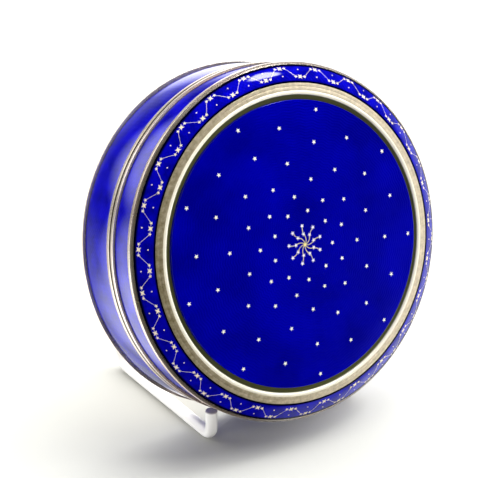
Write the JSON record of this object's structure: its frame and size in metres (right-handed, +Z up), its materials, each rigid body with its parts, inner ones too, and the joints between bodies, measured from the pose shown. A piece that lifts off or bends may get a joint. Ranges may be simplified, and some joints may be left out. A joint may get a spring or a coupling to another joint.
{
  "type": "guilloche enamel box on a display easel",
  "caption": "Round blue enamel box with a lift-off lid, gilt edges, a domed starry panel and a star garland border, leaning back in a bent rod easel.",
  "frame": {"origin": "middle of the footprint, on the surface that the easel stands on", "axes": "+Z up, -Y is the side that the lid faces, +X to the right as the lid is seen from the front"},
  "size_m": [0.08, 0.0586, 0.0839],
  "materials": {
    "silver_gilt": "polished silver-gilt",
    "worn_gilt": "silver-gilt worn to satin, with a bright bead",
    "blue_enamel": "glossy translucent enamel over engine turning",
    "coated_rod": "white plastic coat on steel rod"
  },
  "bodies": {
    "root": {"base_cup": "silver_gilt", "base_band_enamel": "blue_enamel", "lid_shell": "silver_gilt", "lid_band_enamel": "blue_enamel", "lid_border_enamel": "blue_enamel", "lid_ring": "worn_gilt", "lid_panel": "blue_enamel", "display_easel": "coated_rod"}
  },
  "joints": []
}
